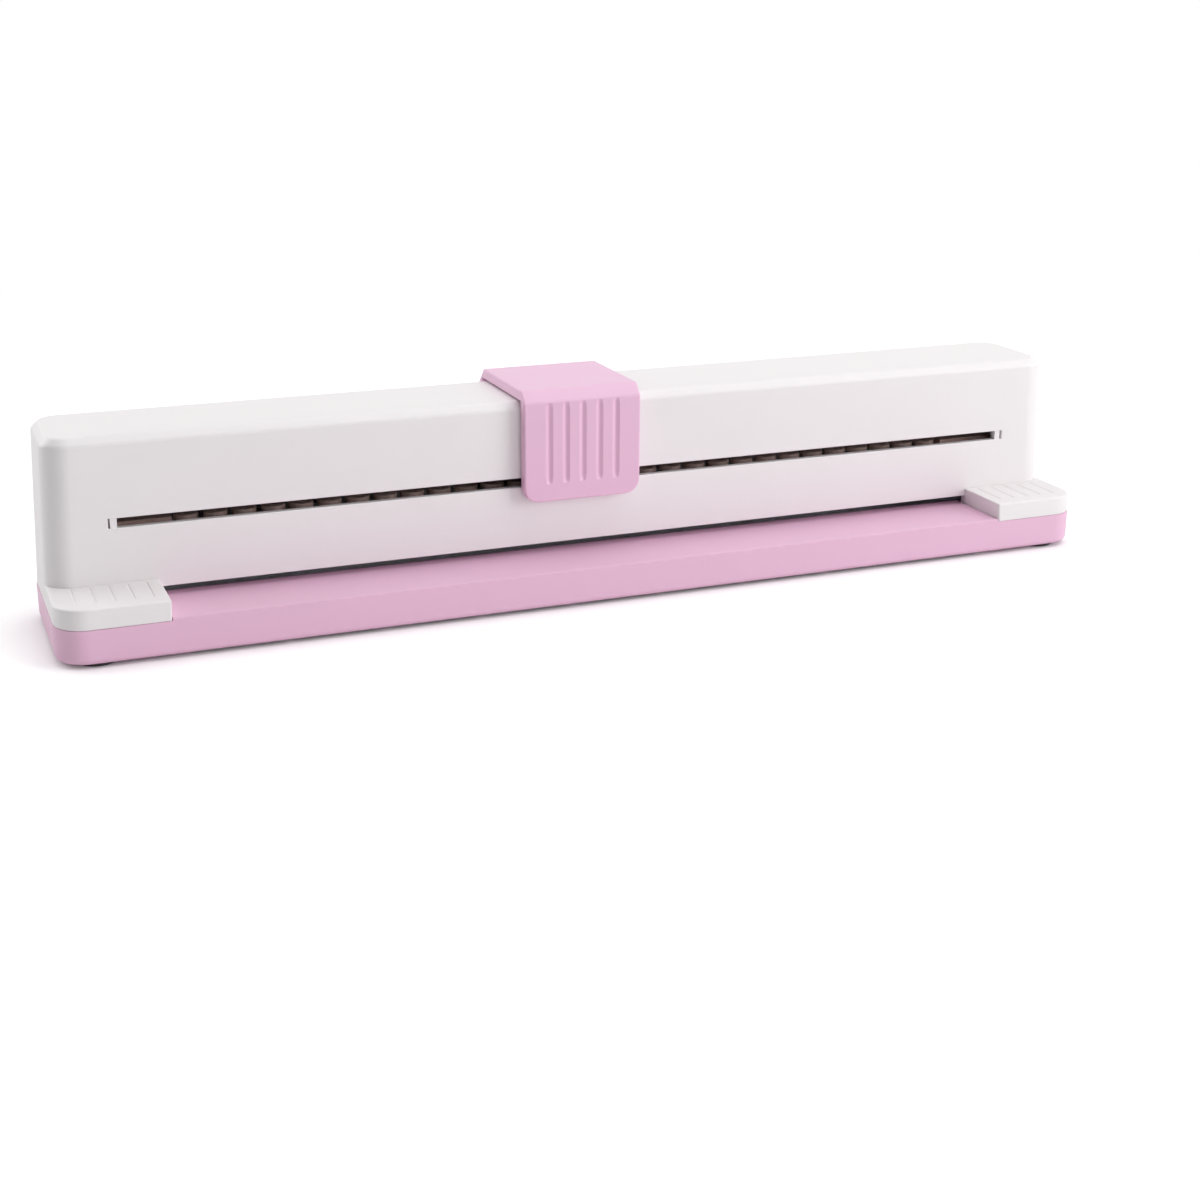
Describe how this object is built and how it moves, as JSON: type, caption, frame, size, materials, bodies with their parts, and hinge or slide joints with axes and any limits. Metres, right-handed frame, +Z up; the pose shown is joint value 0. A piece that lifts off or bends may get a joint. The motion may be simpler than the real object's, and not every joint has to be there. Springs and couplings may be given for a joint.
{
  "type": "thirty-hole punch",
  "caption": "Long desk punch: a rounded housing over a shallow base, with a slider that rolls along a slot and pushes a row of sprung pins through the sheet below.",
  "frame": {"origin": "middle of the footprint, on the table that the feet stand on", "axes": "+X along the row of holes, +Y from the sheet's side to the back, +Z up"},
  "size_m": [0.369, 0.0658, 0.0705],
  "materials": {
    "shell_white": "satin white moulding",
    "base_colour": "satin pale pink moulding",
    "cap_colour": "satin pale pink moulding",
    "tray_plastic": "matt moulding",
    "ground_steel": "ground",
    "plated_steel": "zinc plated",
    "zinc_sheet": "bright zinc",
    "pin_steel": "bronze brown, hardened",
    "bronzed_steel": "bronze brown, ground",
    "spring_wire": "drawn wire",
    "screw_zinc": "zinc plated",
    "screw_black": "black oxide",
    "foot_rubber": "matt",
    "carriage_plastic": "black",
    "roller_plastic": "natural"
  },
  "bodies": {
    "punch_body": {"upper_housing": "shell_white", "lower_base": "base_colour", "die_plate": "ground_steel", "guide_plate": "plated_steel", "upper_guide": "plated_steel", "paper_stop": "plated_steel", "end_spacers": "plated_steel", "run_on_bars": "bronzed_steel", "press_frame": "zinc_sheet", "stack_bolts": "screw_zinc", "stack_spacers": "plated_steel", "return_springs": "spring_wire", "end_stops": "shell_white", "housing_screws": "screw_black", "block_screws": "screw_black", "die_screws": "screw_black", "feet": "foot_rubber"},
    "tray": {"chip_tray": "tray_plastic"},
    "slider": {"slider_cap": "cap_colour", "slider_arm": "zinc_sheet", "arm_rivets": "plated_steel", "carriage": "carriage_plastic", "press_axle": "ground_steel", "guide_axles": "ground_steel"},
    "press_wheel": {"press_roller": "roller_plastic"},
    "guide_wheel_right": {"guide_roller_right": "roller_plastic"},
    "guide_wheel_left": {"guide_roller_left": "roller_plastic"},
    "pin_01": {"punch_pin_01": "pin_steel"},
    "pin_02": {"punch_pin_02": "pin_steel"},
    "pin_03": {"punch_pin_03": "pin_steel"},
    "pin_04": {"punch_pin_04": "pin_steel"},
    "pin_05": {"punch_pin_05": "pin_steel"},
    "pin_06": {"punch_pin_06": "pin_steel"},
    "pin_07": {"punch_pin_07": "pin_steel"},
    "pin_08": {"punch_pin_08": "pin_steel"},
    "pin_09": {"punch_pin_09": "pin_steel"},
    "pin_10": {"punch_pin_10": "pin_steel"},
    "pin_11": {"punch_pin_11": "pin_steel"},
    "pin_12": {"punch_pin_12": "pin_steel"},
    "pin_13": {"punch_pin_13": "pin_steel"},
    "pin_14": {"punch_pin_14": "pin_steel"},
    "pin_15": {"punch_pin_15": "pin_steel"},
    "pin_16": {"punch_pin_16": "pin_steel"},
    "pin_17": {"punch_pin_17": "pin_steel"},
    "pin_18": {"punch_pin_18": "pin_steel"},
    "pin_19": {"punch_pin_19": "pin_steel"},
    "pin_20": {"punch_pin_20": "pin_steel"},
    "pin_21": {"punch_pin_21": "pin_steel"},
    "pin_22": {"punch_pin_22": "pin_steel"},
    "pin_23": {"punch_pin_23": "pin_steel"},
    "pin_24": {"punch_pin_24": "pin_steel"},
    "pin_25": {"punch_pin_25": "pin_steel"},
    "pin_26": {"punch_pin_26": "pin_steel"},
    "pin_27": {"punch_pin_27": "pin_steel"},
    "pin_28": {"punch_pin_28": "pin_steel"},
    "pin_29": {"punch_pin_29": "pin_steel"},
    "pin_30": {"punch_pin_30": "pin_steel"}
  },
  "joints": [
    {"name": "tray_slide", "type": "slide", "parent": "punch_body", "child": "tray", "axis": [0, 1, 0], "range_m": [0, 0.03]},
    {"name": "slider_travel", "type": "slide", "parent": "punch_body", "child": "slider", "axis": [1, 0, 0], "range_m": [-0.1369, 0.1502]},
    {"name": "press_wheel_spin", "type": "hinge", "parent": "slider", "child": "press_wheel", "pos_m": [-0.00667, 0.0031, 0.0458], "axis": [0, 1, 0], "continuous": true},
    {"name": "guide_wheel_right_spin", "type": "hinge", "parent": "slider", "child": "guide_wheel_right", "pos_m": [0.00733, 0.0031, 0.0564], "axis": [0, 1, 0], "continuous": true},
    {"name": "guide_wheel_left_spin", "type": "hinge", "parent": "slider", "child": "guide_wheel_left", "pos_m": [-0.02067, 0.0031, 0.0564], "axis": [0, 1, 0], "continuous": true},
    {"name": "pin_01_slide", "type": "slide", "parent": "punch_body", "child": "pin_01", "axis": [0, 0, -1], "range_m": [0, 0.0043], "stiffness_N_per_m": 400, "springref_m": -0.0075, "deforming": ["return_springs"]},
    {"name": "pin_02_slide", "type": "slide", "parent": "punch_body", "child": "pin_02", "axis": [0, 0, -1], "range_m": [0, 0.0043], "stiffness_N_per_m": 400, "springref_m": -0.0075, "deforming": ["return_springs"]},
    {"name": "pin_03_slide", "type": "slide", "parent": "punch_body", "child": "pin_03", "axis": [0, 0, -1], "range_m": [0, 0.0043], "stiffness_N_per_m": 400, "springref_m": -0.0075, "deforming": ["return_springs"]},
    {"name": "pin_04_slide", "type": "slide", "parent": "punch_body", "child": "pin_04", "axis": [0, 0, -1], "range_m": [0, 0.0043], "stiffness_N_per_m": 400, "springref_m": -0.0075, "deforming": ["return_springs"]},
    {"name": "pin_05_slide", "type": "slide", "parent": "punch_body", "child": "pin_05", "axis": [0, 0, -1], "range_m": [0, 0.0043], "stiffness_N_per_m": 400, "springref_m": -0.0075, "deforming": ["return_springs"]},
    {"name": "pin_06_slide", "type": "slide", "parent": "punch_body", "child": "pin_06", "axis": [0, 0, -1], "range_m": [0, 0.0043], "stiffness_N_per_m": 400, "springref_m": -0.0075, "deforming": ["return_springs"]},
    {"name": "pin_07_slide", "type": "slide", "parent": "punch_body", "child": "pin_07", "axis": [0, 0, -1], "range_m": [0, 0.0043], "stiffness_N_per_m": 400, "springref_m": -0.0075, "deforming": ["return_springs"]},
    {"name": "pin_08_slide", "type": "slide", "parent": "punch_body", "child": "pin_08", "axis": [0, 0, -1], "range_m": [0, 0.0043], "stiffness_N_per_m": 400, "springref_m": -0.0075, "deforming": ["return_springs"]},
    {"name": "pin_09_slide", "type": "slide", "parent": "punch_body", "child": "pin_09", "axis": [0, 0, -1], "range_m": [0, 0.0043], "stiffness_N_per_m": 400, "springref_m": -0.0075, "deforming": ["return_springs"]},
    {"name": "pin_10_slide", "type": "slide", "parent": "punch_body", "child": "pin_10", "axis": [0, 0, -1], "range_m": [0, 0.0043], "stiffness_N_per_m": 400, "springref_m": -0.0075, "deforming": ["return_springs"]},
    {"name": "pin_11_slide", "type": "slide", "parent": "punch_body", "child": "pin_11", "axis": [0, 0, -1], "range_m": [0, 0.0043], "stiffness_N_per_m": 400, "springref_m": -0.0075, "deforming": ["return_springs"]},
    {"name": "pin_12_slide", "type": "slide", "parent": "punch_body", "child": "pin_12", "axis": [0, 0, -1], "range_m": [0, 0.0043], "stiffness_N_per_m": 400, "springref_m": -0.0075, "deforming": ["return_springs"]},
    {"name": "pin_13_slide", "type": "slide", "parent": "punch_body", "child": "pin_13", "axis": [0, 0, -1], "range_m": [0, 0.0043], "stiffness_N_per_m": 400, "springref_m": -0.0075, "deforming": ["return_springs"]},
    {"name": "pin_14_slide", "type": "slide", "parent": "punch_body", "child": "pin_14", "axis": [0, 0, -1], "range_m": [0, 0.0043], "stiffness_N_per_m": 400, "springref_m": -0.0075, "deforming": ["return_springs"]},
    {"name": "pin_15_slide", "type": "slide", "parent": "punch_body", "child": "pin_15", "axis": [0, 0, -1], "range_m": [0, 0.0043], "stiffness_N_per_m": 400, "springref_m": -0.0075, "deforming": ["return_springs"]},
    {"name": "pin_16_slide", "type": "slide", "parent": "punch_body", "child": "pin_16", "axis": [0, 0, -1], "range_m": [0, 0.0043], "stiffness_N_per_m": 400, "springref_m": -0.0075, "deforming": ["return_springs"]},
    {"name": "pin_17_slide", "type": "slide", "parent": "punch_body", "child": "pin_17", "axis": [0, 0, -1], "range_m": [0, 0.0043], "stiffness_N_per_m": 400, "springref_m": -0.0075, "deforming": ["return_springs"]},
    {"name": "pin_18_slide", "type": "slide", "parent": "punch_body", "child": "pin_18", "axis": [0, 0, -1], "range_m": [0, 0.0043], "stiffness_N_per_m": 400, "springref_m": -0.0075, "deforming": ["return_springs"]},
    {"name": "pin_19_slide", "type": "slide", "parent": "punch_body", "child": "pin_19", "axis": [0, 0, -1], "range_m": [0, 0.0043], "stiffness_N_per_m": 400, "springref_m": -0.0075, "deforming": ["return_springs"]},
    {"name": "pin_20_slide", "type": "slide", "parent": "punch_body", "child": "pin_20", "axis": [0, 0, -1], "range_m": [0, 0.0043], "stiffness_N_per_m": 400, "springref_m": -0.0075, "deforming": ["return_springs"]},
    {"name": "pin_21_slide", "type": "slide", "parent": "punch_body", "child": "pin_21", "axis": [0, 0, -1], "range_m": [0, 0.0043], "stiffness_N_per_m": 400, "springref_m": -0.0075, "deforming": ["return_springs"]},
    {"name": "pin_22_slide", "type": "slide", "parent": "punch_body", "child": "pin_22", "axis": [0, 0, -1], "range_m": [0, 0.0043], "stiffness_N_per_m": 400, "springref_m": -0.0075, "deforming": ["return_springs"]},
    {"name": "pin_23_slide", "type": "slide", "parent": "punch_body", "child": "pin_23", "axis": [0, 0, -1], "range_m": [0, 0.0043], "stiffness_N_per_m": 400, "springref_m": -0.0075, "deforming": ["return_springs"]},
    {"name": "pin_24_slide", "type": "slide", "parent": "punch_body", "child": "pin_24", "axis": [0, 0, -1], "range_m": [0, 0.0043], "stiffness_N_per_m": 400, "springref_m": -0.0075, "deforming": ["return_springs"]},
    {"name": "pin_25_slide", "type": "slide", "parent": "punch_body", "child": "pin_25", "axis": [0, 0, -1], "range_m": [0, 0.0043], "stiffness_N_per_m": 400, "springref_m": -0.0075, "deforming": ["return_springs"]},
    {"name": "pin_26_slide", "type": "slide", "parent": "punch_body", "child": "pin_26", "axis": [0, 0, -1], "range_m": [0, 0.0043], "stiffness_N_per_m": 400, "springref_m": -0.0075, "deforming": ["return_springs"]},
    {"name": "pin_27_slide", "type": "slide", "parent": "punch_body", "child": "pin_27", "axis": [0, 0, -1], "range_m": [0, 0.0043], "stiffness_N_per_m": 400, "springref_m": -0.0075, "deforming": ["return_springs"]},
    {"name": "pin_28_slide", "type": "slide", "parent": "punch_body", "child": "pin_28", "axis": [0, 0, -1], "range_m": [0, 0.0043], "stiffness_N_per_m": 400, "springref_m": -0.0075, "deforming": ["return_springs"]},
    {"name": "pin_29_slide", "type": "slide", "parent": "punch_body", "child": "pin_29", "axis": [0, 0, -1], "range_m": [0, 0.0043], "stiffness_N_per_m": 400, "springref_m": -0.0075, "deforming": ["return_springs"]},
    {"name": "pin_30_slide", "type": "slide", "parent": "punch_body", "child": "pin_30", "axis": [0, 0, -1], "range_m": [0, 0.0043], "stiffness_N_per_m": 400, "springref_m": -0.0075, "deforming": ["return_springs"]}
  ],
  "couplings": [
    {"joint": "press_wheel_spin", "follows": "slider_travel", "rad_per_m": 111.11},
    {"joint": "guide_wheel_right_spin", "follows": "slider_travel", "rad_per_m": -200},
    {"joint": "guide_wheel_left_spin", "follows": "slider_travel", "rad_per_m": -200}
  ]
}
